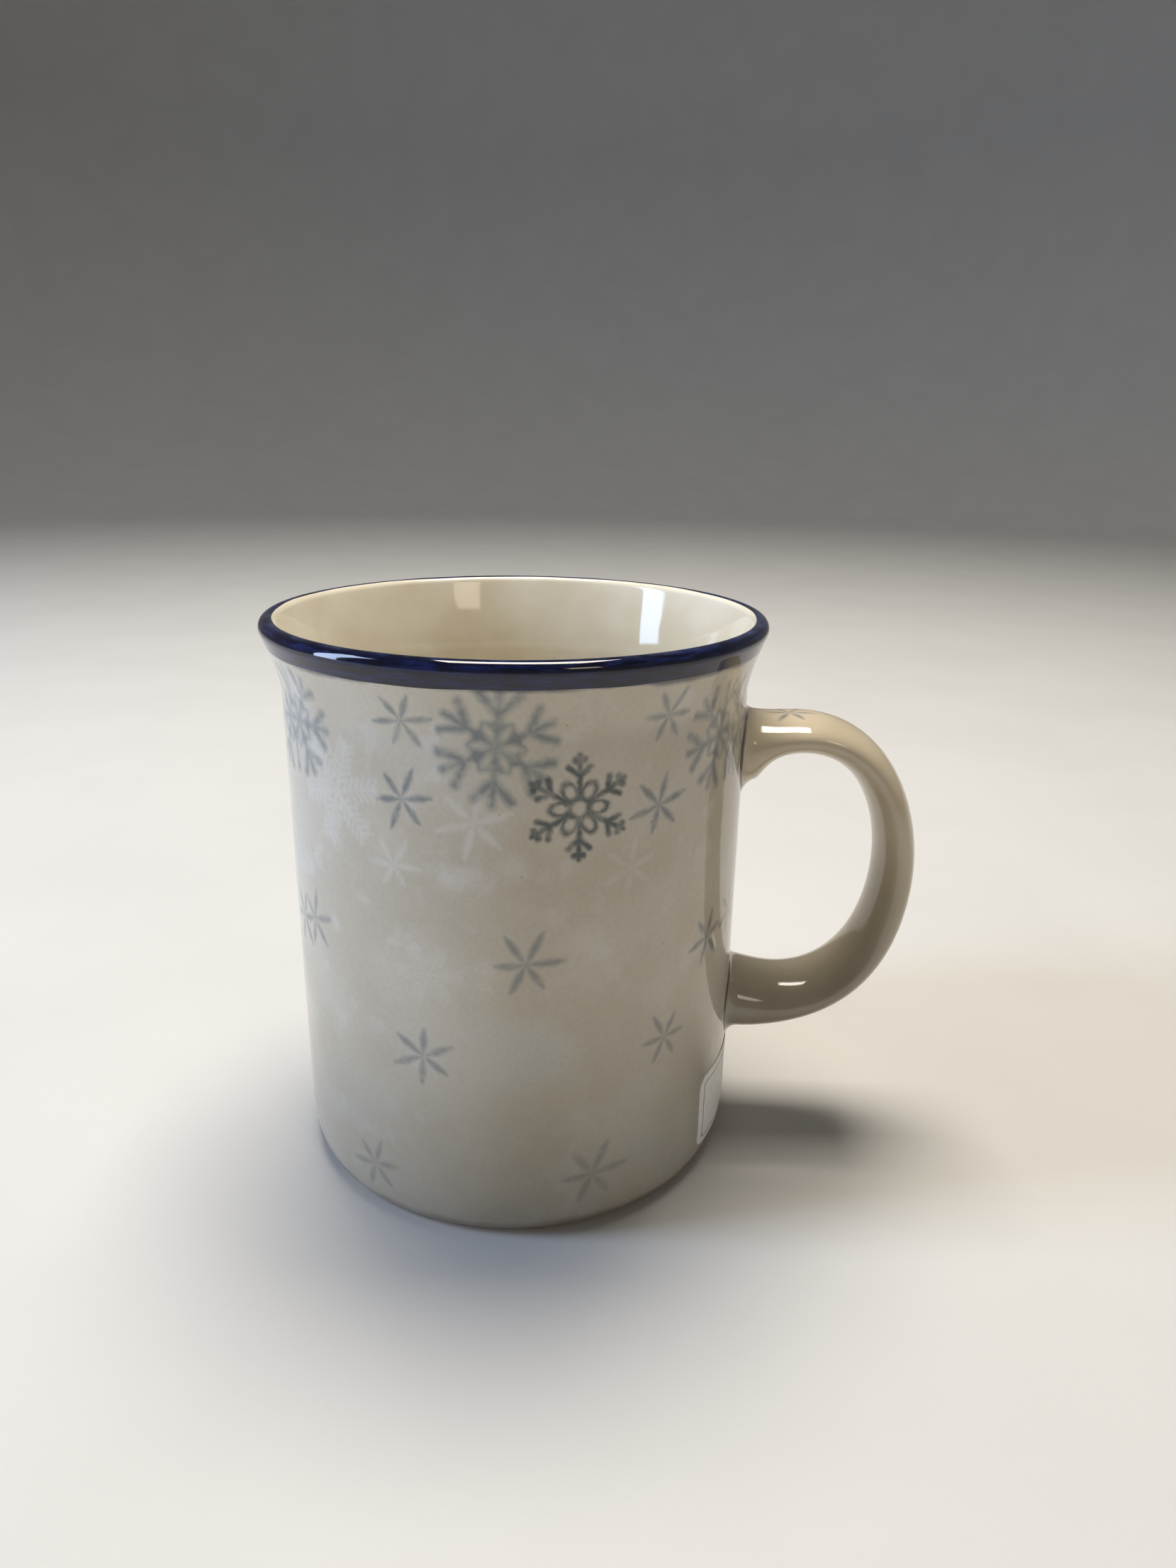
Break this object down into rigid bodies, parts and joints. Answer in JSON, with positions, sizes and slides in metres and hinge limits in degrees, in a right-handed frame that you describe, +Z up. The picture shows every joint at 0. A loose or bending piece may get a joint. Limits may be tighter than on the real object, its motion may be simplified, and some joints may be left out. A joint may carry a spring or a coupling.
{
  "type": "stoneware mug",
  "caption": "Straight stoneware mug with a flared cobalt rim, a pulled strap handle, star stamps under a clear glaze and a paper label.",
  "frame": {"origin": "centre of the foot ring, on the cup's axis, at the level of the table", "axes": "+Z up the cup's axis, +X from the axis towards the handle, +Y to the left of somebody who looks along +X"},
  "size_m": [0.1172, 0.0872, 0.1],
  "materials": {
    "fired_clay": "bare fired stoneware",
    "stamped_glaze": "gloss clear glaze over a sponged ground with grey-blue stamps",
    "cream_glaze": "gloss cream glaze",
    "cobalt_glaze": "gloss cobalt glaze",
    "handle_glaze": "gloss cream glaze",
    "clay_slip": "fired slip",
    "label_paper": "matt paper"
  },
  "bodies": {
    "root": {"stoneware_cup": "fired_clay", "outer_glaze": "stamped_glaze", "inner_glaze": "cream_glaze", "base_glaze": "cream_glaze", "cobalt_rim_band": "cobalt_glaze", "handle": "fired_clay", "handle_glaze": "handle_glaze", "upper_slip_joint": "clay_slip", "lower_slip_joint": "clay_slip", "price_label": "label_paper"}
  },
  "joints": []
}
